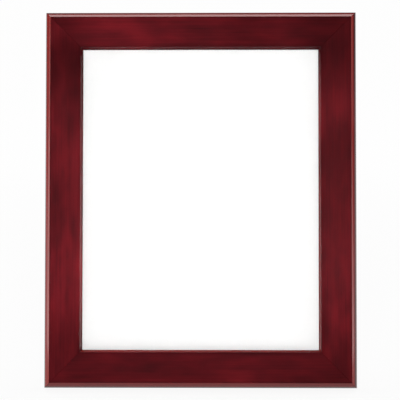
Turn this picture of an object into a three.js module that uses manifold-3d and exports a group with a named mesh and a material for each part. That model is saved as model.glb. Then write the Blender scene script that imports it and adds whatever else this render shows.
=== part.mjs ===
// Table-top picture frame for an 8 by 10 inch print. Four mitred lengths of one moulding hold glass,
// print and backing. Turn buttons keep them in, sawtooth hangers serve a wall, and an easel leg on a
// stop hinge serves a table. Millimetres, +Z up, the picture faces -Y. The frame leans on its open leg,
// and the origin is on the table under the middle of the bounding box.
import * as THREE from "three";
import { mergeVertices } from "three/addons/utils/BufferGeometryUtils.js";
import Module from "manifold-3d";

const wasm = await Module();
wasm.setup();

// Print, and the sheets that lie with it in the rabbet
const PRINT_WIDTH = 203.2;
const PRINT_HEIGHT = 254;
const RABBET_PLAY = 0.8; // room around the print, on each side
const GLASS_THICKNESS = 2;
const INSERT_THICKNESS = 0.4;
const FILLER_THICKNESS = 5;
const BACKING_THICKNESS = 3;
const SEAT_GAP = 0.3; // between pieces that lie on, or fit in, each other

// Section of the moulding
const MOULDING_WIDTH = 29.7;
const MOULDING_DEPTH = 16;
const LIP_WIDTH = 9.9; // how far the lip covers the edge of the glass
const EDGE_INSET = 4.1; // from the outer side to the edge of the flat face
const EDGE_SLOPE_DEG = 42; // of the bevel beside the flat face
const EDGE_RADIUS = 7; // between that bevel and the outer side
const SIGHT_INSET = 1.7; // from the sight edge to the edge of the flat face
const SIGHT_SLOPE_DEG = 52; // of the bevel along the sight edge
const BACK_CHAMFER = 0.6;
const MITRE_GAP = 0.2;

// V-nails across the mitres
const V_NAIL_LEG = 5;
const V_NAIL_THICKNESS = 0.8;
const V_NAIL_DEPTH = 9;
const V_NAIL_SPACING = 8; // between the two nails of a corner, measured across the moulding

// Turn buttons and their screws
const BUTTON_WIDTH = 9;
const BUTTON_REACH = 14; // from the screw to the tip
const BUTTON_THICKNESS = 0.8;
const BUTTON_PIVOT_INSET = 4.5; // from the edge of the rabbet to the screw
const RAIL_BUTTON_OFFSET = 55; // from the middle of the top and bottom rails
const STILE_BUTTON_OFFSET = 70; // from the middle of the stiles
const SCREW_RADIUS = 1.4;
const SCREW_LENGTH = 9;
const SCREW_HEAD_RADIUS = 3;
const SCREW_HEAD_HEIGHT = 1.4;
const RECESS_LENGTH = 3.4; // of the cross that takes the screwdriver
const RECESS_WIDTH = 0.8;
const RECESS_DEPTH = 0.9;

// Sawtooth hangers and their nails
const HANGER_LENGTH = 46;
const HANGER_WIDTH = 10;
const HANGER_THICKNESS = 1;
const HANGER_RISE = 2.2; // room behind the teeth for the head of a wall nail
const HANGER_EAR = 9; // flat end that is nailed down
const HANGER_RAMP = 3;
const HANGER_INSET = 4; // from the outer side of the moulding
const TOOTH_COUNT = 8;
const TOOTH_PITCH = 2.4;
const TOOTH_DEPTH = 1.6;
const TOOTH_FLAT = 0.5;
const NAIL_RADIUS = 0.7;
const NAIL_LENGTH = 9;
const NAIL_HEAD_RADIUS = 1.7;
const NAIL_HEAD_HEIGHT = 0.9;

// Easel leg and its stop hinge
const LEAN_DEG = 14; // of the frame, back from upright
const LEG_OPENING_DEG = 25; // of the leg, away from the backing
const HINGE_HEIGHT = 165; // of the hinge pin, up the back of the frame
const LEG_THICKNESS = 3.2;
const LEG_TOP_WIDTH = 46;
const LEG_FOOT_WIDTH = 66;
const LEG_CORNER_RADIUS = 5;
const LEG_CLOSED_GAP = 0.4; // between the folded leg and the backing
const LEAF_WIDTH = 38;
const LEAF_HEIGHT = 20;
const LEAF_THICKNESS = 0.8;
const KNUCKLE_LENGTH = 16; // of the middle knuckle, which belongs to the leg
const PIN_RADIUS = 1;
const HINGE_CLEARANCE = 0.3;
const STOP_REACH = 7; // of the tab that stops the leg, past the pin
const RIVET_RADIUS = 1.4;
const RIVET_LENGTH = 2.2; // in the board
const RIVET_HEAD_RADIUS = 2.6;
const RIVET_HEAD_HEIGHT = 1;
const RIVET_OFFSET_X = 13;
const RIVET_OFFSET_Z = 13;

// Fineness of round surfaces, and how far a cut runs past the surface that it opens
const ARC_STEPS = 5;
const ROUND_SIDES = 20;
const DOME_STEPS = 4;
const CUT_OVERRUN = 1;
const MERGE_TOLERANCE = 1e-4;

// Sizes that follow from those above
const LEAN = THREE.MathUtils.degToRad(LEAN_DEG);
const LEG_OPENING = THREE.MathUtils.degToRad(LEG_OPENING_DEG);
const EDGE_SLOPE = THREE.MathUtils.degToRad(EDGE_SLOPE_DEG);
const SIGHT_SLOPE = THREE.MathUtils.degToRad(SIGHT_SLOPE_DEG);
const QUARTER_TURN = Math.PI / 2;
const LAND_WIDTH = MOULDING_WIDTH - LIP_WIDTH; // flat back of the moulding, out to in
const FRAME_WIDTH = PRINT_WIDTH + 2 * RABBET_PLAY + 2 * LAND_WIDTH;
const FRAME_HEIGHT = PRINT_HEIGHT + 2 * RABBET_PLAY + 2 * LAND_WIDTH;
const PACKAGE = [GLASS_THICKNESS, INSERT_THICKNESS, FILLER_THICKNESS, BACKING_THICKNESS];
const RABBET_DEPTH = PACKAGE.reduce((depth, thickness) => depth + thickness + SEAT_GAP, 0);
const LIP_THICKNESS = MOULDING_DEPTH - RABBET_DEPTH;
const BUTTON_PIVOT = LAND_WIDTH - BUTTON_PIVOT_INSET;
const NAIL_OFFSET = (HANGER_LENGTH - HANGER_EAR) / 2;
const HINGE_OFFSET = (LEG_CLOSED_GAP + LEG_THICKNESS + LEAF_THICKNESS + 2 * SEAT_GAP) / 2;
const KNUCKLE_RADIUS = HINGE_OFFSET - SEAT_GAP;
const LEG_FRONT = HINGE_OFFSET - LEG_CLOSED_GAP; // front of the leg, ahead of the pin
const KNUCKLE_ROOM = KNUCKLE_RADIUS + HINGE_CLEARANCE;

// The leg is as long as puts its foot on the table with the bottom edge of the frame.
const LEG_TO_PLUMB = LEG_OPENING - LEAN;
const PIN_ABOVE_TABLE =
  HINGE_HEIGHT * Math.cos(LEAN) - HINGE_OFFSET * Math.sin(LEAN) - BACK_CHAMFER * Math.sin(LEAN);
const LEG_LENGTH =
  (PIN_ABOVE_TABLE - LEG_FRONT * Math.sin(LEG_TO_PLUMB)) / Math.cos(LEG_TO_PLUMB);

const MATERIALS = {
  wood: new THREE.MeshStandardMaterial({ color: 0x5e171e, roughness: 0.28, metalness: 0 }),
  glass: new THREE.MeshStandardMaterial({
    color: 0xf2f6f5,
    roughness: 0.03,
    metalness: 0,
    transparent: true,
    opacity: 0.2,
  }),
  paper: new THREE.MeshStandardMaterial({ color: 0xfbfbfa, roughness: 0.8, metalness: 0 }),
  cardboard: new THREE.MeshStandardMaterial({ color: 0x99958f, roughness: 0.9, metalness: 0 }),
  velour: new THREE.MeshStandardMaterial({ color: 0x18171a, roughness: 0.95, metalness: 0 }),
  steel: new THREE.MeshStandardMaterial({ color: 0xb9bab6, roughness: 0.35, metalness: 1 }),
  brass: new THREE.MeshStandardMaterial({ color: 0xb8913f, roughness: 0.35, metalness: 1 }),
};

// A closed geometry as a solid that can be cut and joined
function solidOf(geometry) {
  const bare = geometry.clone();
  bare.deleteAttribute("normal");
  bare.deleteAttribute("uv");
  const merged = mergeVertices(bare, MERGE_TOLERANCE);
  const vertProperties = merged.attributes.position.array;
  const triVerts = new Uint32Array(merged.index.array);
  return new wasm.Manifold(new wasm.Mesh({ numProp: 3, vertProperties, triVerts }));
}

// A cut or joined solid as a geometry again
function geometryOf(solid) {
  const { vertProperties, triVerts } = solid.getMesh();
  const geometry = new THREE.BufferGeometry();
  geometry.setAttribute("position", new THREE.BufferAttribute(vertProperties, 3));
  geometry.setIndex(new THREE.BufferAttribute(triVerts, 1));
  geometry.computeVertexNormals();
  return geometry;
}

function joined(geometries) {
  return geometries.map(solidOf).reduce((whole, solid) => whole.add(solid));
}

function cut(geometry, cutters) {
  const whole = solidOf(geometry);
  return geometryOf(cutters.reduce((solid, cutter) => solid.subtract(solidOf(cutter)), whole));
}

function piece(name, geometry, material) {
  const mesh = new THREE.Mesh(geometry, material);
  mesh.name = name;
  return mesh;
}

// A flat outline in x and z, with a thickness that runs back along y from y = 0
function plate(shape, thickness) {
  const geometry = new THREE.ExtrudeGeometry(shape, {
    depth: thickness,
    bevelEnabled: false,
    curveSegments: ARC_STEPS,
  });
  return geometry.rotateX(QUARTER_TURN).translate(0, thickness, 0);
}

// A block between two corners
function block([x0, y0, z0], [x1, y1, z1]) {
  const geometry = new THREE.BoxGeometry(x1 - x0, y1 - y0, z1 - z0);
  return geometry.translate((x0 + x1) / 2, (y0 + y1) / 2, (z0 + z1) / 2);
}

// A round bar along x between two places
function bar(radius, x0, x1) {
  const geometry = new THREE.CylinderGeometry(radius, radius, x1 - x0, ROUND_SIDES);
  return geometry.rotateZ(QUARTER_TURN).translate((x0 + x1) / 2, 0, 0);
}

// A screw, nail or rivet along y: its shank starts at -length, and its domed head sits on y = seat
function headedPin({ radius, length, point, seat, headRadius, headHeight }) {
  const outline = [new THREE.Vector2(0, -length)];
  outline.push(new THREE.Vector2(radius, point - length));
  outline.push(new THREE.Vector2(radius, seat));
  for (let i = 0; i < DOME_STEPS; i++) {
    const turn = (i / DOME_STEPS) * QUARTER_TURN;
    outline.push(new THREE.Vector2(headRadius * Math.cos(turn), seat + headHeight * Math.sin(turn)));
  }
  outline.push(new THREE.Vector2(0, seat + headHeight));
  return new THREE.LatheGeometry(outline, ROUND_SIDES);
}

// The hole for such a shank, open at y = 0
function shankHole(radius, length) {
  const depth = length + SEAT_GAP + CUT_OVERRUN;
  const hole = new THREE.CylinderGeometry(radius + SEAT_GAP, radius + SEAT_GAP, depth, ROUND_SIDES);
  return hole.translate(0, CUT_OVERRUN - depth / 2, 0);
}

// Section of the moulding: x runs in from the outer side, y runs back from the flat face
function mouldingSection() {
  const bevelRun = EDGE_INSET - EDGE_RADIUS * (1 - Math.sin(EDGE_SLOPE));
  const sideStart = bevelRun * Math.tan(EDGE_SLOPE) + EDGE_RADIUS * Math.cos(EDGE_SLOPE);
  const section = new THREE.Shape();
  section.moveTo(EDGE_INSET, 0);
  section.lineTo(MOULDING_WIDTH - SIGHT_INSET, 0);
  section.lineTo(MOULDING_WIDTH, SIGHT_INSET * Math.tan(SIGHT_SLOPE));
  section.lineTo(MOULDING_WIDTH, LIP_THICKNESS);
  section.lineTo(LAND_WIDTH, LIP_THICKNESS);
  section.lineTo(LAND_WIDTH, MOULDING_DEPTH);
  section.lineTo(BACK_CHAMFER, MOULDING_DEPTH);
  section.lineTo(0, MOULDING_DEPTH - BACK_CHAMFER);
  section.absarc(EDGE_RADIUS, sideStart, EDGE_RADIUS, Math.PI, 3 * QUARTER_TURN - EDGE_SLOPE, false);
  return section;
}

// A length of moulding along x, its outer side down on z = 0 and its back at y = 0, mitred at both ends
function mitredMoulding(length) {
  const geometry = new THREE.ExtrudeGeometry(mouldingSection(), {
    depth: 1,
    bevelEnabled: false,
    curveSegments: ARC_STEPS,
  });
  const position = geometry.attributes.position;
  const setback = MITRE_GAP / Math.SQRT2;
  for (let i = 0; i < position.count; i++) {
    const inset = position.getX(i);
    const end = 1 - 2 * position.getZ(i);
    position.setXYZ(i, end * (length / 2 - inset - setback), position.getY(i) - MOULDING_DEPTH, inset);
  }
  return geometry;
}

// A V-nail, or with room around it its slot: an angle whose two legs run along x and z
function vNailShape(room) {
  const half = V_NAIL_THICKNESS / 2 + room;
  const leg = V_NAIL_LEG + room;
  const shape = new THREE.Shape();
  shape.moveTo(-half, -half);
  shape.lineTo(leg, -half);
  shape.lineTo(leg, half);
  shape.lineTo(half, half);
  shape.lineTo(half, leg);
  shape.lineTo(-half, leg);
  return shape;
}

const V_NAIL_INSETS = {
  outer: (LAND_WIDTH - V_NAIL_SPACING) / 2,
  inner: (LAND_WIDTH + V_NAIL_SPACING) / 2,
};

function vNailSlots(length) {
  const depth = V_NAIL_DEPTH + 2 * SEAT_GAP;
  return [-1, 1].flatMap((end) =>
    Object.values(V_NAIL_INSETS).map((inset) =>
      plate(vNailShape(SEAT_GAP), depth + CUT_OVERRUN)
        .rotateY(end > 0 ? -QUARTER_TURN : 0)
        .translate(end * (length / 2 - inset), -depth, inset),
    ),
  );
}

function vNails() {
  const corners = [
    { name: "bottom_left", x: -1, z: 0, turn: 0 },
    { name: "bottom_right", x: 1, z: 0, turn: -QUARTER_TURN },
    { name: "top_right", x: 1, z: 1, turn: Math.PI },
    { name: "top_left", x: -1, z: 1, turn: QUARTER_TURN },
  ];
  return corners.flatMap((corner) =>
    Object.entries(V_NAIL_INSETS).map(([place, inset]) => {
      const angle = plate(vNailShape(0), V_NAIL_DEPTH);
      const nail = piece(`v_nail_${corner.name}_${place}`, angle, MATERIALS.steel);
      const z = corner.z ? FRAME_HEIGHT - inset : inset;
      nail.position.set(corner.x * (FRAME_WIDTH / 2 - inset), -V_NAIL_DEPTH - SEAT_GAP, z);
      nail.rotation.y = corner.turn;
      return nail;
    }),
  );
}

// A turn button, with its screw hole at the origin and its tip towards +z
function turnButtonShape() {
  const half = BUTTON_WIDTH / 2;
  const shape = new THREE.Shape();
  shape.absarc(0, 0, half, Math.PI, 2 * Math.PI, false);
  shape.absarc(0, BUTTON_REACH - half, half, 0, Math.PI, false);
  const hole = new THREE.Path();
  hole.absarc(0, 0, SCREW_RADIUS + SEAT_GAP, 0, 2 * Math.PI, true);
  shape.holes.push(hole);
  return shape;
}

// A wood screw that a turn button swivels on, with a cross recess in its head
function buttonScrew() {
  const seat = BUTTON_THICKNESS + 2 * SEAT_GAP;
  const top = seat + SCREW_HEAD_HEIGHT;
  const long = RECESS_LENGTH / 2;
  const wide = RECESS_WIDTH / 2;
  const blank = headedPin({
    radius: SCREW_RADIUS,
    length: SCREW_LENGTH,
    point: SCREW_RADIUS,
    seat,
    headRadius: SCREW_HEAD_RADIUS,
    headHeight: SCREW_HEAD_HEIGHT,
  });
  return cut(blank, [
    block([-long, top - RECESS_DEPTH, -wide], [long, top + CUT_OVERRUN, wide]),
    block([-wide, top - RECESS_DEPTH, -long], [wide, top + CUT_OVERRUN, long]),
  ]);
}

function turnButtons(offset, names) {
  const tab = plate(turnButtonShape(), BUTTON_THICKNESS);
  const screw = buttonScrew();
  return names.flatMap((name, i) => {
    const x = i === 0 ? -offset : offset;
    const button = piece(`turn_button_${name}`, tab.clone(), MATERIALS.steel);
    button.position.set(x, SEAT_GAP, BUTTON_PIVOT);
    const fixing = piece(`turn_button_screw_${name}`, screw.clone(), MATERIALS.steel);
    fixing.position.set(x, 0, BUTTON_PIVOT);
    return [button, fixing];
  });
}

// Side view of a sawtooth hanger: two ears on the wood, and a raised bridge between them
function hangerProfile() {
  const half = HANGER_LENGTH / 2;
  const foot = half - HANGER_EAR;
  const bridge = foot - HANGER_RAMP;
  const under = [
    [-half, 0],
    [-foot, 0],
    [-bridge, HANGER_RISE],
    [bridge, HANGER_RISE],
    [foot, 0],
    [half, 0],
  ];
  const over = under.map(([x, y]) => [x, y + HANGER_THICKNESS]).reverse();
  return new THREE.Shape([...under, ...over].map(([x, y]) => new THREE.Vector2(x, y)));
}

// What is nibbled out of the lower edge of the bridge, between its teeth
function toothGaps() {
  const start = (-TOOTH_COUNT * TOOTH_PITCH) / 2;
  const shape = new THREE.Shape();
  shape.moveTo(start, HANGER_WIDTH + CUT_OVERRUN);
  for (let i = 0; i < TOOTH_COUNT; i++) {
    const x = start + i * TOOTH_PITCH;
    shape.lineTo(x + TOOTH_FLAT / 2, HANGER_WIDTH + CUT_OVERRUN);
    shape.lineTo(x + TOOTH_FLAT / 2, HANGER_WIDTH);
    shape.lineTo(x + TOOTH_PITCH / 2, HANGER_WIDTH - TOOTH_DEPTH);
    shape.lineTo(x + TOOTH_PITCH - TOOTH_FLAT / 2, HANGER_WIDTH);
    shape.lineTo(x + TOOTH_PITCH - TOOTH_FLAT / 2, HANGER_WIDTH + CUT_OVERRUN);
  }
  shape.lineTo(-start, HANGER_WIDTH + CUT_OVERRUN);
  shape.lineTo(-start, HANGER_WIDTH + 2 * CUT_OVERRUN);
  shape.lineTo(start, HANGER_WIDTH + 2 * CUT_OVERRUN);
  return plate(shape, HANGER_RISE + HANGER_THICKNESS + CUT_OVERRUN);
}

function sawtoothHanger(name) {
  const strip = new THREE.ExtrudeGeometry(hangerProfile(), { depth: HANGER_WIDTH, bevelEnabled: false });
  const holes = [-1, 1].map((side) =>
    shankHole(NAIL_RADIUS, HANGER_THICKNESS).translate(
      side * NAIL_OFFSET,
      HANGER_THICKNESS,
      HANGER_WIDTH / 2,
    ),
  );
  const hanger = piece(`sawtooth_hanger_${name}`, cut(strip, [toothGaps(), ...holes]), MATERIALS.brass);
  hanger.position.set(0, SEAT_GAP, HANGER_INSET);
  const nail = headedPin({
    radius: NAIL_RADIUS,
    length: NAIL_LENGTH,
    point: 2 * NAIL_RADIUS,
    seat: HANGER_THICKNESS + 2 * SEAT_GAP,
    headRadius: NAIL_HEAD_RADIUS,
    headHeight: NAIL_HEAD_HEIGHT,
  });
  const nails = [-1, 1].map((side) => {
    const end = side < 0 ? "a" : "b";
    const fixing = piece(`hanger_nail_${name}_${end}`, nail.clone(), MATERIALS.steel);
    fixing.position.set(side * NAIL_OFFSET, 0, HANGER_INSET + HANGER_WIDTH / 2);
    return fixing;
  });
  return [hanger, ...nails];
}

// One side of the frame: its moulding, turn buttons and, where it has one, its hanger
function side({ name, length, x, z, turn, buttonOffset, buttonNames, hanger }) {
  const screwHoles = [-1, 1].map((end) =>
    shankHole(SCREW_RADIUS, SCREW_LENGTH).translate(end * buttonOffset, 0, BUTTON_PIVOT),
  );
  const nailHoles = [-1, 1].map((end) =>
    shankHole(NAIL_RADIUS, NAIL_LENGTH).translate(end * NAIL_OFFSET, 0, HANGER_INSET + HANGER_WIDTH / 2),
  );
  const cutters = [...vNailSlots(length), ...screwHoles, ...(hanger ? nailHoles : [])];
  const group = new THREE.Group();
  group.add(piece(name, cut(mitredMoulding(length), cutters), MATERIALS.wood));
  group.add(...turnButtons(buttonOffset, buttonNames));
  if (hanger) {
    group.add(...sawtoothHanger(hanger));
  }
  group.position.set(x, 0, z);
  group.rotation.y = turn;
  return group;
}

function sides() {
  const rail = { length: FRAME_WIDTH, x: 0, buttonOffset: RAIL_BUTTON_OFFSET };
  const stile = { length: FRAME_HEIGHT, z: FRAME_HEIGHT / 2, buttonOffset: STILE_BUTTON_OFFSET };
  return [
    side({
      ...rail,
      name: "bottom_rail",
      z: 0,
      turn: 0,
      buttonNames: ["bottom_left", "bottom_right"],
    }),
    side({
      ...rail,
      name: "top_rail",
      z: FRAME_HEIGHT,
      turn: Math.PI,
      buttonNames: ["top_right", "top_left"],
      hanger: "top",
    }),
    side({
      ...stile,
      name: "right_stile",
      x: FRAME_WIDTH / 2,
      turn: -QUARTER_TURN,
      buttonNames: ["right_lower", "right_upper"],
      hanger: "side",
    }),
    side({
      ...stile,
      name: "left_stile",
      x: -FRAME_WIDTH / 2,
      turn: QUARTER_TURN,
      buttonNames: ["left_upper", "left_lower"],
    }),
  ];
}

// Where the fixed leaf's rivets, or the leg's, go into their board
function rivetPlaces(z) {
  return [-1, 1].map((end) => ({ name: end < 0 ? "left" : "right", x: end * RIVET_OFFSET_X, z }));
}

// Glass, print, filler and backing, laid in the rabbet from the lip back
function glazingPackage() {
  const layers = [
    ["glass_pane", GLASS_THICKNESS, MATERIALS.glass],
    ["photo_insert", INSERT_THICKNESS, MATERIALS.paper],
    ["filler_board", FILLER_THICKNESS, MATERIALS.cardboard],
    ["backing_board", BACKING_THICKNESS, MATERIALS.velour],
  ];
  const rivetHoles = rivetPlaces(HINGE_HEIGHT + RIVET_OFFSET_Z - FRAME_HEIGHT / 2).map(({ x, z }) =>
    shankHole(RIVET_RADIUS, RIVET_LENGTH).translate(x, BACKING_THICKNESS / 2, z),
  );
  let front = -RABBET_DEPTH;
  return layers.map(([name, thickness, material]) => {
    const sheet = new THREE.BoxGeometry(PRINT_WIDTH, thickness, PRINT_HEIGHT);
    const layer = piece(name, name === "backing_board" ? cut(sheet, rivetHoles) : sheet, material);
    layer.position.set(0, front + SEAT_GAP + thickness / 2, FRAME_HEIGHT / 2);
    front += SEAT_GAP + thickness;
    return layer;
  });
}

function rivet(seat) {
  return headedPin({
    radius: RIVET_RADIUS,
    length: RIVET_LENGTH,
    point: 0,
    seat,
    headRadius: RIVET_HEAD_RADIUS,
    headHeight: RIVET_HEAD_HEIGHT,
  });
}

function rivets(owner, y, z) {
  const seat = LEAF_THICKNESS + 2 * SEAT_GAP;
  return rivetPlaces(z).map((place) => {
    const fixing = piece(`${owner}_rivet_${place.name}`, rivet(seat), MATERIALS.steel);
    fixing.position.set(place.x, y, place.z);
    return fixing;
  });
}

// The holes that a leaf has for its rivets, through its whole thickness
function leafHoles(y, z) {
  return rivetPlaces(z).map((place) =>
    shankHole(RIVET_RADIUS, LEAF_THICKNESS).translate(place.x, y + LEAF_THICKNESS, place.z),
  );
}

// Hinge leaf on the backing, around the pin at the origin: a plate above it and the two outer knuckles
function fixedLeaf() {
  const half = LEAF_WIDTH / 2;
  const gap = KNUCKLE_LENGTH / 2 + HINGE_CLEARANCE;
  const front = -KNUCKLE_RADIUS;
  const back = front + LEAF_THICKNESS;
  const body = joined([
    block([-half, front, KNUCKLE_ROOM], [half, back, LEAF_HEIGHT]),
    block([-half, front, 0], [-gap, back, KNUCKLE_ROOM + CUT_OVERRUN]),
    block([gap, front, 0], [half, back, KNUCKLE_ROOM + CUT_OVERRUN]),
    bar(KNUCKLE_RADIUS, -half, -gap),
    bar(KNUCKLE_RADIUS, gap, half),
  ]);
  const bore = bar(PIN_RADIUS + SEAT_GAP, -half - CUT_OVERRUN, half + CUT_OVERRUN);
  return cut(geometryOf(body), [bore, ...leafHoles(front, RIVET_OFFSET_Z)]);
}

// Hinge leaf on the leg, for a folded leg: a plate below the pin, the middle knuckle, and the tab that
// comes to rest against the fixed leaf when the leg is fully open
function movingLeaf() {
  const half = LEAF_WIDTH / 2;
  const knuckle = KNUCKLE_LENGTH / 2;
  const back = KNUCKLE_RADIUS;
  const front = back - LEAF_THICKNESS;
  const stopFront = -KNUCKLE_RADIUS + LEAF_THICKNESS + HINGE_CLEARANCE;
  const stop = block([-knuckle, stopFront, 0], [knuckle, stopFront + LEAF_THICKNESS, STOP_REACH]);
  const body = joined([
    block([-half, front, -LEAF_HEIGHT], [half, back, -KNUCKLE_ROOM]),
    block([-knuckle, front, -KNUCKLE_ROOM - CUT_OVERRUN], [knuckle, back, 0]),
    bar(KNUCKLE_RADIUS, -knuckle, knuckle),
    stop.rotateX(-LEG_OPENING),
  ]);
  const bore = bar(PIN_RADIUS + SEAT_GAP, -half, half);
  return cut(geometryOf(body), [bore, ...leafHoles(front, -RIVET_OFFSET_Z)]);
}

// The leg's board, for a folded leg: narrow at the hinge, wide and round-cornered at the foot, and cut
// there to sit flat on the table when it is open
function legBoard() {
  const top = -KNUCKLE_ROOM;
  const topHalf = LEG_TOP_WIDTH / 2;
  const footHalf = LEG_FOOT_WIDTH / 2;
  const taper = (footHalf - topHalf) / (LEG_LENGTH + top);
  const cornerHalf = footHalf - taper * LEG_CORNER_RADIUS;
  const outline = new THREE.Shape();
  outline.moveTo(-topHalf, top);
  outline.lineTo(-cornerHalf, LEG_CORNER_RADIUS - LEG_LENGTH);
  outline.quadraticCurveTo(-footHalf, -LEG_LENGTH, LEG_CORNER_RADIUS - footHalf, -LEG_LENGTH);
  outline.lineTo(footHalf - LEG_CORNER_RADIUS, -LEG_LENGTH);
  outline.quadraticCurveTo(footHalf, -LEG_LENGTH, cornerHalf, LEG_CORNER_RADIUS - LEG_LENGTH);
  outline.lineTo(topHalf, top);
  const rivetHoles = rivetPlaces(-RIVET_OFFSET_Z).map(({ x, z }) =>
    shankHole(RIVET_RADIUS, RIVET_LENGTH).translate(x, LEG_THICKNESS - LEG_FRONT, z),
  );
  const board = plate(outline, LEG_THICKNESS);
  const position = board.attributes.position;
  for (let i = 0; i < position.count; i++) {
    if (position.getZ(i) < top) {
      position.setZ(i, position.getZ(i) - position.getY(i) * Math.tan(LEG_TO_PLUMB));
    }
  }
  return cut(board.translate(0, -LEG_FRONT, 0), rivetHoles);
}

// The leg and its leaf, which turn on the pin together
function easelLeg() {
  const leg = new THREE.Group();
  leg.add(piece("easel_leg", legBoard(), MATERIALS.velour));
  leg.add(piece("hinge_moving_leaf", movingLeaf(), MATERIALS.brass));
  leg.add(...rivets("moving_leaf", LEG_THICKNESS - LEG_FRONT, -RIVET_OFFSET_Z));
  leg.rotation.x = LEG_OPENING;
  return leg;
}

function easel() {
  const hinge = new THREE.Group();
  hinge.add(piece("hinge_fixed_leaf", fixedLeaf(), MATERIALS.brass));
  hinge.add(piece("hinge_pin", bar(PIN_RADIUS, -LEAF_WIDTH / 2, LEAF_WIDTH / 2), MATERIALS.steel));
  hinge.add(...rivets("fixed_leaf", -HINGE_OFFSET, RIVET_OFFSET_Z));
  hinge.add(easelLeg());
  hinge.position.set(0, HINGE_OFFSET, HINGE_HEIGHT);
  return hinge;
}

// The frame stands in its own upright space, with the bottom of its back at the origin, and then leans.
const frame = new THREE.Group();
frame.add(...sides(), ...vNails(), ...glazingPackage(), easel());
frame.rotation.x = -LEAN;

const bounds = new THREE.Box3().setFromObject(frame, true);
const middle = bounds.getCenter(new THREE.Vector3());
frame.position.set(-middle.x, -middle.y, -bounds.min.z);

const pictureFrame = new THREE.Group();
pictureFrame.add(frame);

export default pictureFrame;
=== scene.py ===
# A wooden picture frame for an 8 by 10 inch print, standing on its open easel leg. The sections follow
# the way it is put together: mouldings, glass and print, backing, fittings, leg, and then the studio.
import math

import bmesh
import bpy
from mathutils import Matrix, Vector


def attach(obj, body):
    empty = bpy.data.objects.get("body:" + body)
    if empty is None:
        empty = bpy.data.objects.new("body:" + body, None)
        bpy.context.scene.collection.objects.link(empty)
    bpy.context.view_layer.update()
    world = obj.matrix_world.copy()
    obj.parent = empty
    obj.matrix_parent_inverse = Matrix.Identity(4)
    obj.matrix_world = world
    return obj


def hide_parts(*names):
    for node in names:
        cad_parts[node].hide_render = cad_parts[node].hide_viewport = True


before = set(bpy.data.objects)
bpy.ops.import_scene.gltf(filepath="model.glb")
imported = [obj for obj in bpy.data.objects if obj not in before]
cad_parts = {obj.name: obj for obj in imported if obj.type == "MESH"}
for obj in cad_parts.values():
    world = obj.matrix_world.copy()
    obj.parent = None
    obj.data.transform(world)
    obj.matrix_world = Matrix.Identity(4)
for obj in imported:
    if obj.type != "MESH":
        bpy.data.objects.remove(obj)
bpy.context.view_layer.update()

# Mouldings
# Four lengths of one hardwood moulding, planed flat on the face with a bevelled, rounded outer edge and a
# narrow bevel at the sight edge, then mitred and glued. The wood is stained dark red and lacquered, with
# more gloss on the bevels than on the flat face.
LEAN = math.radians(14)
FRAME_FOOT = Vector((0, -0.029952, -0.000145))
FRAME_WIDTH = 0.2444
FRAME_HEIGHT = 0.2952
MOULDING_WIDTH = 0.0297
MOULDING_DEPTH = 0.016
LIP_THICKNESS = 0.0044
LAND_WIDTH = 0.0198
BEVEL_INSET = 0.0041
BEVEL_SLOPE = math.radians(42)
EDGE_ROUND = 0.007
EDGE_STEPS = 10
FACE_ARRIS = 0.0005
SIGHT_INSET = 0.0017
SIGHT_START = MOULDING_WIDTH - SIGHT_INSET
SIGHT_SLOPE = math.radians(52)
SIGHT_ARRIS = 0.0003
ARRIS_STEPS = 3
BACK_CHAMFER = 0.0006
MITRE_SETBACK = 0.00002
MITRE_ARRIS = 0.00011
SAME_PLACE = 0.000001
SMOOTH_BELOW = math.radians(25)
FLAT_FACE_SHARE = 5
STAND = Matrix.Translation(FRAME_FOOT) @ Matrix.Rotation(-LEAN, 4, "X")

# The stain, as measured in from the outer side of a moulding, forward from its back, or along it
STAIN_TONES = [
    (0.36, (0.043, 0.0042, 0.0057)),
    (0.5, (0.083, 0.0053, 0.0081)),
    (0.64, (0.129, 0.0073, 0.0109)),
]
# Colour of the painted shade beside the sight edge, and of the darker band beside the bevel
DARK_BAND_AND_SHADE = (0.025, 0.0012, 0.002)
# Colour of the pale worn stain, which also serves as painted highlight on the bevels and the sight bevel
WORN_STAIN_AND_HIGHLIGHT = (0.26, 0.015, 0.012)
BLOTCH_SHIFT = 0.16
FRONT_FADE = (-0.0125, -0.0115)
BEVEL_SHADE = 0.3
BEVEL_SHADE_FADE = (0.0042, 0.0057)
CORNER_SHADE_REACH = 0.03
SIGHT_SHADE_REACH = 0.0035
BEVEL_WEAR_AND_HIGHLIGHT_RISE = 0.001
BEVEL_WEAR_AND_HIGHLIGHT_END = (0.0039, 0.0042)
SIGHT_WEAR_AND_HIGHLIGHT_RISE = 0.0003
SIGHT_WEAR_AND_HIGHLIGHT_DEPTHS = (0.5, 0.95)
GLOSS = [(0.0039, 0.85), (0.0042, 0.3), (0.0279, 0.3), (0.0282, 0.85), (0.0296, 0.0)]
NOISE_SPAN = (0.3, 0.7)
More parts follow.
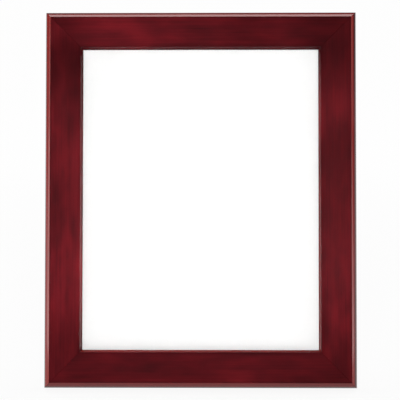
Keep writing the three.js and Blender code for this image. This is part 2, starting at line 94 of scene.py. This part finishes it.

# For each length, the first of the three numbers for the bevels is where on the bevel the pale worn stain
# and painted highlight start, and the others give their share there and on the sight bevel. Inner_shade is
# the share of painted shade beside the sight edge, along it and at its corners.
RAIL = {"length": FRAME_WIDTH, "x": 0}
STILE = {"length": FRAME_HEIGHT, "z": FRAME_HEIGHT / 2}
MOULDINGS = {
    "bottom_rail": {
        **RAIL,
        "z": 0,
        "turn": 0,
        "grain_start": 0.31,
        "wear_and_highlight": (0.0004, 0.4, 0.6),
        "inner_shade": (0.15, 0.4),
        "depths": [(0.1, 0.88), (0.32, 1.0), (0.48, 0.93), (0.64, 1.0), (0.8, 0.84), (0.95, 0.68)],
    },
    "top_rail": {
        **RAIL,
        "z": FRAME_HEIGHT,
        "turn": 180,
        "grain_start": 1.27,
        "wear_and_highlight": (0.0002, 0.7, 0.0),
        "inner_shade": (0.4, 0.6),
        "depths": [(0.05, 0.44), (0.25, 0.9), (0.34, 0.75), (0.5, 1.1), (0.81, 1.32), (0.96, 0.75)],
    },
    "right_stile": {
        **STILE,
        "x": FRAME_WIDTH / 2,
        "turn": -90,
        "grain_start": 2.05,
        "wear_and_highlight": (0.0016, 0.7, 0.3),
        "inner_shade": (0.1, 0.5),
        "depths": [(0.04, 0.75), (0.28, 1.45), (0.5, 1.0), (0.64, 0.86), (0.74, 1.15), (0.9, 0.57)],
    },
    "left_stile": {
        **STILE,
        "x": -FRAME_WIDTH / 2,
        "turn": 90,
        "grain_start": 3.4,
        "wear_and_highlight": (0.0, 0.9, 0.0),
        "inner_shade": (0.0, 0.6),
        "depths": [(0.03, 1.18), (0.13, 0.55), (0.25, 1.2), (0.48, 1.3), (0.72, 1.6), (0.92, 0.9)],
    },
}


def ease_edges(bm, edges, width, steps, clamp=False):
    """Takes the sharpness off edges, to this width on each side."""
    bmesh.ops.bevel(
        bm,
        geom=edges,
        offset=width,
        offset_type="OFFSET",
        segments=steps,
        profile=0.5,
        affect="EDGES",
        material=-1,
        clamp_overlap=clamp,
    )


def round_edge(bm, inset, depth, width, steps):
    """Rounds the arris that runs along a moulding at this place in its section."""
    corner = Vector((depth - MOULDING_DEPTH, inset))
    arris = [
        edge
        for edge in bm.edges
        if all((Vector(vert.co.yz) - corner).length < SAME_PLACE for vert in edge.verts)
    ]
    ease_edges(bm, arris, width, steps)


def mitre_end(bm, length, end):
    """Saws one end of a moulding to 45 degrees and takes the sharpness off the sawn edge."""
    reach = length / 2 - MITRE_SETBACK
    sawn = bmesh.ops.bisect_plane(
        bm,
        geom=bm.verts[:] + bm.edges[:] + bm.faces[:],
        plane_co=(end * reach, 0, 0),
        plane_no=Vector((end, 0, 1)).normalized(),
        clear_outer=True,
    )
    outline = [part for part in sawn["geom_cut"] if isinstance(part, bmesh.types.BMEdge)]
    bmesh.ops.contextual_create(bm, geom=outline)
    ease_edges(bm, outline, MITRE_ARRIS, 1)


def moulding_mesh(length, grain_start):
    """One mitred length along X, outer side on Z = 0 and back at Y = 0, with a grain attribute."""
    bm = bmesh.new()
    side_corner = BEVEL_INSET * math.tan(BEVEL_SLOPE)
    sight_depth = SIGHT_INSET * math.tan(SIGHT_SLOPE)
    section = [
        (BEVEL_INSET, 0),
        (SIGHT_START, 0),
        (MOULDING_WIDTH, sight_depth),
        (MOULDING_WIDTH, LIP_THICKNESS),
        (LAND_WIDTH, LIP_THICKNESS),
        (LAND_WIDTH, MOULDING_DEPTH),
        (0, MOULDING_DEPTH),
        (0, side_corner),
    ]
    outline = [bm.verts.new((-length, depth - MOULDING_DEPTH, inset)) for inset, depth in section]
    grown = bmesh.ops.extrude_face_region(bm, geom=[bm.faces.new(outline)])
    far_end = [part for part in grown["geom"] if isinstance(part, bmesh.types.BMVert)]
    bmesh.ops.translate(bm, vec=(2 * length, 0, 0), verts=far_end)
    bmesh.ops.recalc_face_normals(bm, faces=bm.faces)
    rounds = [
        (0, side_corner, EDGE_ROUND, math.pi / 2 - BEVEL_SLOPE, EDGE_STEPS),
        (BEVEL_INSET, 0, FACE_ARRIS, BEVEL_SLOPE, ARRIS_STEPS),
        (SIGHT_START, 0, SIGHT_ARRIS, SIGHT_SLOPE, ARRIS_STEPS),
        (MOULDING_WIDTH, sight_depth, SIGHT_ARRIS, math.pi / 2 - SIGHT_SLOPE, ARRIS_STEPS),
    ]
    for inset, depth, radius, turn, steps in rounds:
        round_edge(bm, inset, depth, radius * math.tan(turn / 2), steps)
    round_edge(bm, 0, MOULDING_DEPTH, BACK_CHAMFER, 1)
    for end in (-1, 1):
        mitre_end(bm, length, end)
    grain = bm.verts.layers.float_vector.new("grain")
    for vert in bm.verts:
        vert[grain] = vert.co + Vector((grain_start, 0, 0))
    return bm


def smooth_rounds(bm):
    """Shades rounds smooth, and keeps large flat faces flat up to the narrow faces beside them."""
    for face in bm.faces:
        face.smooth = True
    for edge in bm.edges:
        areas = sorted(face.calc_area() for face in edge.link_faces)
        rounded = len(areas) == 2 and edge.calc_face_angle() < SMOOTH_BELOW
        edge.smooth = rounded and areas[1] < FLAT_FACE_SHARE * areas[0]


def dress(node, made, bm, material, body):
    """Puts the finished piece in the place of one solid: smooth up to its arrises, and on its body."""
    smooth_rounds(bm)
    name = f"{node}_{made}"
    mesh = bpy.data.meshes.new(name)
    bm.to_mesh(mesh)
    bm.free()
    mesh.materials.append(material)
    piece = bpy.data.objects.new(name, mesh)
    bpy.context.scene.collection.objects.link(piece)
    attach(piece, body)
    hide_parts(node)


def add_node(material, kind, **settings):
    """A node of a material, with its properties set."""
    node = material.node_tree.nodes.new(kind)
    for name, value in settings.items():
        setattr(node, name, value)
    return node


def new_finish(name):
    """A material, with its Principled shader and its links."""
    material = bpy.data.materials.new(name)
    material.use_nodes = True
    return material, material.node_tree.nodes["Principled BSDF"], material.node_tree.links


def noise_along(material, coordinates, per_metre, detail, roughness=0.5, distortion=0.0):
    """A noise with this many features to the metre on each axis."""
    mapping = add_node(material, "ShaderNodeMapping")
    mapping.inputs["Scale"].default_value = per_metre
    noise = add_node(material, "ShaderNodeTexNoise")
    noise.inputs["Scale"].default_value = 1.0
    noise.inputs["Detail"].default_value = detail
    noise.inputs["Roughness"].default_value = roughness
    noise.inputs["Distortion"].default_value = distortion
    material.node_tree.links.new(coordinates, mapping.inputs["Vector"])
    material.node_tree.links.new(mapping.outputs["Vector"], noise.inputs["Vector"])
    return noise.outputs["Fac"]


def ramp(material, value, stops):
    """A colour ramp with (position, colour) stops, driven by a value."""
    node = add_node(material, "ShaderNodeValToRGB")
    elements = node.color_ramp.elements
    while len(elements) < len(stops):
        elements.new(0.5)
    for element, (position, colour) in zip(elements, stops):
        element.position = position
        element.color = (*colour, 1.0)
    material.node_tree.links.new(value, node.inputs["Fac"])
    return node.outputs["Color"]


def fill_sockets(material, sockets, values):
    """Links or sets each socket, for values that are other sockets, plain numbers or colours."""
    for socket, value in zip(sockets, values):
        if isinstance(value, bpy.types.NodeSocket):
            material.node_tree.links.new(value, socket)
        elif isinstance(value, tuple):
            socket.default_value = (*value, 1.0)
        else:
            socket.default_value = value


def calculate(material, operation, *values):
    """A sum, product or other operation on values, any of which may be a plain number."""
    node = add_node(material, "ShaderNodeMath", operation=operation)
    fill_sockets(material, node.inputs, values)
    return node.outputs["Value"]


def map_range(material, value, low, high, to_low, to_high):
    """A value moved from one range to another, and held there."""
    node = add_node(material, "ShaderNodeMapRange")
    sockets = [node.inputs[name] for name in ("Value", "From Min", "From Max", "To Min", "To Max")]
    fill_sockets(material, sockets, (value, low, high, to_low, to_high))
    return node.outputs["Result"]


def mix_colours(material, share, first, second, blend="MIX"):
    """Two colours mixed by a share; each may be a socket or plain numbers."""
    node = add_node(material, "ShaderNodeMix", data_type="RGBA", blend_type=blend)
    fill_sockets(material, (node.inputs[0], node.inputs[6], node.inputs[7]), (share, first, second))
    return node.outputs[2]


def vary_roughness(material, shader, noise, low, high):
    """A roughness that goes from one level to another with a noise."""
    roughness = map_range(material, noise, *NOISE_SPAN, low, high)
    material.node_tree.links.new(roughness, shader.inputs["Roughness"])


def add_bump(material, shader, height, strength, distance):
    """Relief on a surface, from a height."""
    bump = add_node(material, "ShaderNodeBump")
    bump.inputs["Strength"].default_value = strength
    bump.inputs["Distance"].default_value = distance
    material.node_tree.links.new(height, bump.inputs["Height"])
    material.node_tree.links.new(bump.outputs["Normal"], shader.inputs["Normal"])


def stained_wood(facts):
    """Dark red stain that takes up unevenly over fine straight grain, under lacquer, with painted shade by
    the sight edge and painted highlight on the bevels.
    """
    material, shader, links = new_finish("lacquered red stain")
    half_length = facts["length"] / 2
    grain = add_node(material, "ShaderNodeAttribute", attribute_name="grain").outputs["Vector"]
    spot = add_node(material, "ShaderNodeSeparateXYZ")
    links.new(grain, spot.inputs["Vector"])
    lengthwise = spot.outputs["X"]
    inset = spot.outputs["Z"]
    front = map_range(material, spot.outputs["Y"], *FRONT_FADE, 1.0, 0.0)

    # The tone of the grain, deeper in some stretches of the length than in others
    blotches = noise_along(material, grain, (20, 55, 55), detail=2.0, distortion=0.1)
    figure = noise_along(material, grain, (34, 120, 120), detail=2.0, distortion=0.2)
    streaks = noise_along(material, grain, (10, 800, 800), detail=2.0, roughness=0.55)
    fine_streaks = noise_along(material, grain, (28, 1700, 1700), detail=1.0)
    tone = 0.0
    for layer, weight in ((blotches, 0.38), (figure, 0.32), (streaks, 0.18), (fine_streaks, 0.12)):
        tone = calculate(material, "MULTIPLY_ADD", layer, weight, tone)
    stain = ramp(material, tone, STAIN_TONES)
    along = map_range(
        material,
        lengthwise,
        facts["grain_start"] - half_length,
        facts["grain_start"] + half_length,
        -BLOTCH_SHIFT / 2,
        1 - BLOTCH_SHIFT / 2,
    )
    along = calculate(material, "MULTIPLY_ADD", blotches, BLOTCH_SHIFT, along)
    half_depths = [(position, (level / 2,) * 3) for position, level in facts["depths"]]
    depth = ramp(material, along, half_depths)
    depth.node.color_ramp.interpolation = "EASE"
    depth = mix_colours(material, 1.0, depth, depth, "ADD")
    stain = mix_colours(material, 1.0, stain, depth, "MULTIPLY")

    # Painted shade beside the sight edge, most at the sight corners, and a darker band beside the bevel
    sight_corner = half_length - MOULDING_WIDTH
    from_middle = calculate(material, "SUBTRACT", lengthwise, facts["grain_start"])
    from_middle = calculate(material, "ABSOLUTE", from_middle)
    corner_start = sight_corner - CORNER_SHADE_REACH
    shade = map_range(material, from_middle, corner_start, sight_corner, *facts["inner_shade"])
    beside = map_range(material, inset, SIGHT_START - SIGHT_SHADE_REACH, SIGHT_START, 0.0, 1.0)
    shade = calculate(material, "MULTIPLY", shade, beside)
    dark_band_and_shade = map_range(material, inset, *BEVEL_SHADE_FADE, BEVEL_SHADE, 0.0)
    dark_band_and_shade = calculate(material, "MAXIMUM", dark_band_and_shade, shade)
    dark_band_and_shade = calculate(material, "MULTIPLY", dark_band_and_shade, front)
    stain = mix_colours(material, dark_band_and_shade, stain, DARK_BAND_AND_SHADE)

    # Pale stain on the bevels and the sight bevel, partly worn thin and partly painted highlight, with its
    # share set for each side
    wear_and_highlight_start, bevel_share, sight_share = facts["wear_and_highlight"]
    wear_and_highlight = map_range(material, inset, wear_and_highlight_start, wear_and_highlight_start + BEVEL_WEAR_AND_HIGHLIGHT_RISE, 0.0, bevel_share)
    within = map_range(material, inset, *BEVEL_WEAR_AND_HIGHLIGHT_END, 1.0, 0.0)
    wear_and_highlight = calculate(material, "MULTIPLY", wear_and_highlight, within)
    sight = map_range(material, inset, SIGHT_START, SIGHT_START + SIGHT_WEAR_AND_HIGHLIGHT_RISE, 0.0, sight_share)
    deep = map_range(material, depth, *SIGHT_WEAR_AND_HIGHLIGHT_DEPTHS, 0.0, 1.0)
    sight = calculate(material, "MULTIPLY", sight, deep)
    wear_and_highlight = calculate(material, "MAXIMUM", wear_and_highlight, sight)
    wear_and_highlight = calculate(material, "MULTIPLY", wear_and_highlight, front)
    stain = mix_colours(material, wear_and_highlight, stain, WORN_STAIN_AND_HIGHLIGHT)
    links.new(stain, shader.inputs["Base Color"])

    # The lacquer, which is thin on the wall of the sight edge
    across = calculate(material, "DIVIDE", inset, MOULDING_WIDTH)
    gloss = [(place / MOULDING_WIDTH, (level,) * 3) for place, level in GLOSS]
    links.new(ramp(material, across, gloss), shader.inputs["Coat Weight"])
    shader.inputs["Coat Roughness"].default_value = 0.1
    shader.inputs["Coat IOR"].default_value = 1.5
    shader.inputs["Specular IOR Level"].default_value = 0.0
    vary_roughness(material, shader, streaks, 0.4, 0.52)
    add_bump(material, shader, streaks, 0.1, 0.0002)
    return material


for name, facts in MOULDINGS.items():
    moulding = moulding_mesh(facts["length"], facts["grain_start"])
    turn = Matrix.Rotation(math.radians(facts["turn"]), 4, "Y")
    fitted = STAND @ Matrix.Translation((facts["x"], 0, facts["z"])) @ turn
    bmesh.ops.transform(moulding, matrix=fitted, verts=moulding.verts)
    dress(name, "lacquered", moulding, stained_wood(facts), "frame")

# Corner nails
# Two V-shaped steel nails across the back of each mitre, pressed in until they lie flush with the wood.
# They are bent from zinc-plated strip, and only their top edges show.
CORNER_NAILS = [
    f"v_nail_{corner}_{side}"
    for corner in ("bottom_left", "bottom_right", "top_right", "top_left")
    for side in ("outer", "inner")
]
CORNER_NAIL_ARRIS = 0.00008
NAIL_STAND_OUT = 0.00034
BACK_NORMAL = Vector((0, math.cos(LEAN), -math.sin(LEAN)))
SHARP_ABOVE = math.radians(32)
FLAT_BELOW = math.radians(1)


def eased_copy(node, arris, steps=2):
    """The merged shape of a CAD node, with its sharp edges eased."""
    bm = bmesh.new()
    bm.from_mesh(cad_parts[node].data)
    bmesh.ops.remove_doubles(bm, verts=bm.verts, dist=SAME_PLACE)
    bmesh.ops.dissolve_limit(bm, angle_limit=FLAT_BELOW, verts=bm.verts, edges=bm.edges)
    sharp = [edge for edge in bm.edges if edge.is_manifold and edge.calc_face_angle() > SHARP_ABOVE]
    ease_edges(bm, sharp, arris, steps, clamp=True)
    return bm


def object_place(material):
    """Where each point of a piece lies, for its noises."""
    return add_node(material, "ShaderNodeTexCoord").outputs["Object"]


def zinc_steel(name, dark, pale):
    """Thin zinc plating on pressed steel: grey, faintly mottled and half dull."""
    material, shader, links = new_finish(name)
    coordinates = object_place(material)
    mottle = noise_along(material, coordinates, (420, 420, 420), detail=3.0, roughness=0.6)
    brushed = noise_along(material, coordinates, (300, 4200, 4200), detail=2.0, roughness=0.6)
    plating = ramp(material, mottle, [(0.3, dark), (0.7, pale)])
    links.new(plating, shader.inputs["Base Color"])
    vary_roughness(material, shader, mottle, 0.44, 0.28)
    shader.inputs["Metallic"].default_value = 1.0
    add_bump(material, shader, brushed, 0.1, 0.0001)
    return material


zinc_finish = zinc_steel("zinc plating", (0.36, 0.37, 0.39), (0.55, 0.56, 0.57))
for node in CORNER_NAILS:
    corner_nail = eased_copy(node, CORNER_NAIL_ARRIS, 1)
    bmesh.ops.translate(corner_nail, vec=BACK_NORMAL * NAIL_STAND_OUT, verts=corner_nail.verts)
    dress(node, "pressed", corner_nail, zinc_finish, "frame")

# Glass pane
# A 2 mm sheet of clear picture glass, cut to the rabbet with its edges just broken on a stone. It lies
# loose against the back of the lip.
GLASS_ARRIS = 0.0002


def blend_shaders(material, share, first, second):
    """Shows one shader, and another by a share."""
    blend = add_node(material, "ShaderNodeMixShader")
    fill_sockets(material, blend.inputs, (share, first, second))
    surface = material.node_tree.nodes["Material Output"].inputs["Surface"]
    material.node_tree.links.new(blend.outputs["Shader"], surface)


def clear_glass():
    """Clear float glass that lets the lamps through to the print."""
    material, shader, links = new_finish("picture glass")
    dust = noise_along(material, object_place(material), (60, 60, 60), detail=4.0, roughness=0.6)
    tint = ramp(material, dust, [(0.35, (0.99, 0.994, 0.992)), (0.7, (1.0, 1.0, 1.0))])
    links.new(tint, shader.inputs["Base Color"])
    shader.inputs["Roughness"].default_value = 0.0
    shader.inputs["Transmission Weight"].default_value = 1.0
    shader.inputs["IOR"].default_value = 1.5
    rays = add_node(material, "ShaderNodeLightPath").outputs
    through = calculate(material, "MAXIMUM", rays["Is Shadow Ray"], rays["Is Diffuse Ray"])
    clear = add_node(material, "ShaderNodeBsdfTransparent")
    clear.inputs["Color"].default_value = (1, 1, 1, 1)
    blend_shaders(material, through, shader.outputs["BSDF"], clear.outputs["BSDF"])
    return material


pane = eased_copy("glass_pane", GLASS_ARRIS, 1)
dress("glass_pane", "cut", pane, clear_glass(), "frame")

# Print
# The plain white sheet that a new frame is sold with, in place of a print. It lies between the glass and
# the filler board and is held only by them.
PAPER_ARRIS = 0.00004


def white_paper():
    """Smooth bright white paper with a trace of fibre."""
    material, shader, links = new_finish("white sheet")
    fibre = noise_along(material, object_place(material), (900, 900, 900), detail=3.0, roughness=0.6)
    sheet = ramp(material, fibre, [(0.3, (0.945, 0.945, 0.942)), (0.7, (0.97, 0.97, 0.967))])
    links.new(sheet, shader.inputs["Base Color"])
    vary_roughness(material, shader, fibre, 0.62, 0.72)
    shader.inputs["Specular IOR Level"].default_value = 0.2
    add_bump(material, shader, fibre, 0.05, 0.0001)
    return material


insert = eased_copy("photo_insert", PAPER_ARRIS, 1)
dress("photo_insert", "sheet", insert, white_paper(), "frame")

# Filler board
# A sheet of grey card that takes up the depth of the rabbet and keeps the print flat. It is die cut and
# drops in loose.
CARD_ARRIS = 0.0002
CARD_TONES = [(0.32, (0.17, 0.16, 0.145)), (0.5, (0.31, 0.30, 0.275)), (0.7, (0.40, 0.385, 0.35))]


def grey_card():
    """Recycled grey card with flecks and short fibres."""
    material, shader, links = new_finish("recycled card")
    flecks = noise_along(material, object_place(material), (700, 700, 700), detail=4.0, roughness=0.65)
    links.new(ramp(material, flecks, CARD_TONES), shader.inputs["Base Color"])
    vary_roughness(material, shader, flecks, 0.95, 0.85)
    shader.inputs["Specular IOR Level"].default_value = 0.15
    add_bump(material, shader, flecks, 0.2, 0.0002)
    return material


filler = eased_copy("filler_board", CARD_ARRIS, 1)
dress("filler_board", "card", filler, grey_card(), "frame")

# Backing board
# A 3 mm hardboard panel that closes the back, covered with black flocked paper. The turn buttons hold it
# in and the leg's hinge is riveted through it.
BOARD_ARRIS = 0.0003
CUT_EDGE_BELOW = 0.3
WORN_FLOCK = (0.030, 0.029, 0.028)
WEAR_SPAN = (0.5, 0.75)


def black_board():
    """Black flocked paper on hardboard, with the brown board just showing along cut edges."""
    material, shader, links = new_finish("flocked paper")
    coordinates = object_place(material)
    nap = noise_along(material, coordinates, (2600, 2600, 2600), detail=2.0, roughness=0.6)
    wear = noise_along(material, coordinates, (45, 45, 45), detail=4.0, roughness=0.6)
    flock = ramp(material, nap, [(0.3, (0.006, 0.006, 0.0065)), (0.7, (0.021, 0.021, 0.022))])
    worn = map_range(material, wear, *WEAR_SPAN, 0.0, 0.5)
    flock = mix_colours(material, worn, flock, WORN_FLOCK)
    cut_edge = add_node(material, "ShaderNodeAttribute", attribute_name="cut_edge").outputs["Fac"]
    core = ramp(material, nap, [(0.3, (0.030, 0.019, 0.012)), (0.7, (0.075, 0.050, 0.032))])
    links.new(mix_colours(material, cut_edge, flock, core), shader.inputs["Base Color"])
    vary_roughness(material, shader, nap, 0.98, 0.86)
    shader.inputs["Specular IOR Level"].default_value = 0.12
    shader.inputs["Sheen Weight"].default_value = 0.12
    shader.inputs["Sheen Roughness"].default_value = 0.5
    add_bump(material, shader, nap, 0.35, 0.00025)
    return material


def mark_cut_edges(bm, board_normal):
    """Marks the faces along a board's cut edges, which the covering paper leaves bare."""
    cut_edge = bm.faces.layers.float.new("cut_edge")
    for face in bm.faces:
        face[cut_edge] = 1.0 if abs(face.normal.dot(board_normal)) < CUT_EDGE_BELOW else 0.0


board_finish = black_board()
backing = eased_copy("backing_board", BOARD_ARRIS)
mark_cut_edges(backing, BACK_NORMAL)
dress("backing_board", "flocked", backing, board_finish, "frame")

# Turn buttons
# Eight flat steel tabs, stamped with rounded ends and a hole, that swing over the backing board to hold
# it in. A pan-head screw with a cross recess holds each one to the back of the moulding.
BUTTON_ARRIS = 0.00022
SCREW_ARRIS = 0.00018
ROUND_STEPS = 3
BUTTON_PLACES = (
    "bottom_left",
    "bottom_right",
    "top_left",
    "top_right",
    "left_lower",
    "left_upper",
    "right_lower",
    "right_upper",
)
screw_finish = zinc_steel("screw steel", (0.19, 0.19, 0.20), (0.31, 0.31, 0.32))
for place in BUTTON_PLACES:
    button = eased_copy(f"turn_button_{place}", BUTTON_ARRIS, ROUND_STEPS)
    dress(f"turn_button_{place}", "stamped", button, zinc_finish, f"button_{place}")
    screw = eased_copy(f"turn_button_screw_{place}", SCREW_ARRIS, ROUND_STEPS)
    dress(f"turn_button_screw_{place}", "pan_head", screw, screw_finish, "frame")

# Sawtooth hangers
# Two strips of brassed steel with a toothed edge, one for upright and one for sideways hanging. Each is
# bent up into a low bridge and held by a round-headed nail through each ear.
HANGER_ARRIS = 0.00018
HANGER_NAIL_ARRIS = 0.0002
BRASS_TONES = [(0.3, (0.42, 0.27, 0.10)), (0.5, (0.62, 0.44, 0.19)), (0.72, (0.74, 0.55, 0.27))]


def brassed_steel():
    """Steel with a thin brass wash, a little uneven and dulled."""
    material, shader, links = new_finish("brass wash")
    coordinates = object_place(material)
    tarnish = noise_along(material, coordinates, (160, 160, 160), detail=4.0, roughness=0.6)
    rolled = noise_along(material, coordinates, (250, 3600, 3600), detail=2.0, roughness=0.6)
    links.new(ramp(material, tarnish, BRASS_TONES), shader.inputs["Base Color"])
    vary_roughness(material, shader, tarnish, 0.42, 0.27)
    shader.inputs["Metallic"].default_value = 1.0
    add_bump(material, shader, rolled, 0.1, 0.0001)
    return material


brass_finish = brassed_steel()
for side in ("top", "side"):
    hanger = eased_copy(f"sawtooth_hanger_{side}", HANGER_ARRIS)
    dress(f"sawtooth_hanger_{side}", "bent", hanger, brass_finish, "frame")
    for end in ("a", "b"):
        nail = eased_copy(f"hanger_nail_{side}_{end}", HANGER_NAIL_ARRIS, ROUND_STEPS)
        dress(f"hanger_nail_{side}_{end}", "driven", nail, zinc_finish, "frame")

# Leg hinge
# A butt hinge of brassed sheet, rolled into knuckles round a steel pin. One leaf is riveted to the
# backing board and the other to the leg.
LEAF_ARRIS = 0.00016
RIVET_ARRIS = 0.0002
HINGE_LEAVES = {"fixed": "frame", "moving": "easel"}
for leaf, body in HINGE_LEAVES.items():
    leaf_shape = eased_copy(f"hinge_{leaf}_leaf", LEAF_ARRIS)
    dress(f"hinge_{leaf}_leaf", "rolled", leaf_shape, brass_finish, body)
    for side in ("left", "right"):
        rivet = eased_copy(f"{leaf}_leaf_rivet_{side}", RIVET_ARRIS, ROUND_STEPS)
        dress(f"{leaf}_leaf_rivet_{side}", "set", rivet, zinc_finish, body)
pin = eased_copy("hinge_pin", LEAF_ARRIS)
dress("hinge_pin", "cut", pin, zinc_finish, "frame")

# Easel leg
# A tapered hardboard leg, covered like the backing board, that swings out on its hinge to stand the frame
# up. Its foot is cut to sit flat on the table.
LEG_ARRIS = 0.0004
LEG_OPENING = math.radians(25)
leg = eased_copy("easel_leg", LEG_ARRIS)
leg_normal = Matrix.Rotation(LEG_OPENING, 3, "X") @ BACK_NORMAL
mark_cut_edges(leg, leg_normal)
dress("easel_leg", "flocked", leg, board_finish, "easel")

# Studio
# A wide white paper floor that the frame stands on. It fills the view with white and keeps the frame's
# shadow, which is fainter far away.
FLOOR_REACH = 14.0
FLOOR_COLOUR = (0.95, 0.95, 0.95, 1)
FLOOR_GLOW_NEAR = 0.9
FLOOR_GLOW_FAR = 0.985
SHADOW_REACH = (0.2, 1.0)
floor_shape = bmesh.new()
bmesh.ops.create_grid(floor_shape, x_segments=2, y_segments=2, size=FLOOR_REACH)
floor_mesh = bpy.data.meshes.new("floor")
floor_shape.to_mesh(floor_mesh)
floor_shape.free()
floor = bpy.data.objects.new("floor", floor_mesh)
bpy.context.scene.collection.objects.link(floor)


def white_floor():
    """White paper that shows even white, with the frame's shadow still in it."""
    material, shader, links = new_finish("studio floor")
    shader.inputs["Base Color"].default_value = FLOOR_COLOUR
    shader.inputs["Roughness"].default_value = 0.9
    shader.inputs["Specular IOR Level"].default_value = 0.0
    glow = add_node(material, "ShaderNodeEmission")
    rays = add_node(material, "ShaderNodeLightPath").outputs
    seen = calculate(material, "MAXIMUM", rays["Is Camera Ray"], rays["Is Glossy Ray"])
    seen = calculate(material, "MAXIMUM", seen, rays["Is Transmission Ray"])
    away = add_node(material, "ShaderNodeVectorMath", operation="LENGTH")
    links.new(object_place(material), away.inputs["Vector"])
    share = map_range(material, away.outputs["Value"], *SHADOW_REACH, FLOOR_GLOW_NEAR, FLOOR_GLOW_FAR)
    share = calculate(material, "MULTIPLY", seen, share)
    blend_shaders(material, share, shader.outputs["BSDF"], glow.outputs["Emission"])
    return material


floor_mesh.materials.append(white_floor())

# Lights
# Low soft boxes at both sides, dim ones over them and one overhead give the bevels their shine. The fills
# and the front box light the wood and the paper without shining in them, and two boxes light the back.
# The room is dim, so that the flat face shows its stain, and white where the camera looks.
FRAME_CENTRE = Vector((0, -0.006, 0.145))
ROOM_LEVEL = 0.14
STRAIGHT_BACK = (0.96, 0.99)
SOFT_BOXES = {
    "left_box": {"place": (-1.0, -0.14, 0.14), "size": (0.42, 0.28), "power": 1.0},
    "left_upper_box": {"place": (-1.0, -0.06, 0.35), "size": (0.28, 0.14), "power": 0.17},
    "right_box": {"place": (1.0, -0.2, 0.14), "size": (0.4, 0.28), "power": 0.95},
    "right_upper_box": {"place": (1.0, -0.08, 0.35), "size": (0.28, 0.14), "power": 0.084},
    "left_fill": {"place": (-1.0, 0.08, 0.5), "size": (0.7, 0.6), "power": 1.35, "shine": False},
    "right_fill": {"place": (1.0, -0.08, 0.5), "size": (0.7, 0.6), "power": 0.9, "shine": False},
    "top_box": {"place": (0, 0.27, 1.25), "size": (1.0, 0.4), "power": 5.6},
    "front_box": {"place": (0, -1.8, 0.7), "size": (0.5, 0.4), "power": 24, "shine": False},
    "back_left_box": {"place": (-1.1, 1.2, 0.8), "size": (0.6, 0.8), "power": 3.5},
    "back_right_box": {"place": (1.1, 1.2, 0.8), "size": (0.6, 0.8), "power": 3.5},
}
world = bpy.data.worlds.new("studio")
world.use_nodes = True
world_links = world.node_tree.links
background = world.node_tree.nodes["Background"]
background.inputs["Color"].default_value = (1, 1, 1, 1)
world_rays = add_node(world, "ShaderNodeLightPath").outputs
sky_place = add_node(world, "ShaderNodeTexCoord").outputs["Generated"]
direction = add_node(world, "ShaderNodeSeparateXYZ")
world_links.new(sky_place, direction.inputs["Vector"])
straight_back = map_range(world, direction.outputs["Y"], *STRAIGHT_BACK, 0.0, 1.0)
white = calculate(world, "MAXIMUM", world_rays["Is Glossy Ray"], world_rays["Is Transmission Ray"])
white = calculate(world, "MULTIPLY", white, straight_back)
white = calculate(world, "MAXIMUM", white, world_rays["Is Camera Ray"])
white = calculate(world, "MAXIMUM", white, world_rays["Is Singular Ray"])
strength = map_range(world, white, 0.0, 1.0, ROOM_LEVEL, 1.0)
world_links.new(strength, background.inputs["Strength"])
bpy.context.scene.world = world
for name, box in SOFT_BOXES.items():
    lamp = bpy.data.lights.new(name, "AREA")
    lamp.shape = "RECTANGLE"
    lamp.size, lamp.size_y = box["size"]
    lamp.energy = box["power"]
    soft_box = bpy.data.objects.new(name, lamp)
    soft_box.location = box["place"]
    aim = FRAME_CENTRE - Vector(box["place"])
    soft_box.rotation_euler = aim.to_track_quat("-Z", "Y").to_euler()
    soft_box.visible_glossy = box.get("shine", True)
    soft_box.visible_transmission = box.get("shine", True)
    bpy.context.scene.collection.objects.link(soft_box)

# Camera
# A long lens a metre and a half in front of the frame, a little above it and a touch to the right, as
# fitted to the corners in the photograph.
CAMERA_PLACE = (0.026160, -1.478723, 0.428944)
CAMERA_PITCH = math.radians(90 - 10.897)
CAMERA_YAW = math.radians(1.034)
CAMERA_ROLL = math.radians(-0.201)
CAMERA_SENSOR = 36
CAMERA_LENS = 172.15
camera_data = bpy.data.cameras.new("camera")
camera_data.sensor_width = CAMERA_SENSOR
camera_data.lens = CAMERA_LENS
camera = bpy.data.objects.new("camera", camera_data)
camera.matrix_world = (
    Matrix.Translation(CAMERA_PLACE)
    @ Matrix.Rotation(CAMERA_YAW, 4, "Z")
    @ Matrix.Rotation(CAMERA_PITCH, 4, "X")
    @ Matrix.Rotation(CAMERA_ROLL, 4, "Z")
)
bpy.context.scene.collection.objects.link(camera)
bpy.context.scene.camera = camera
bpy.context.scene.view_settings.view_transform = "Standard"
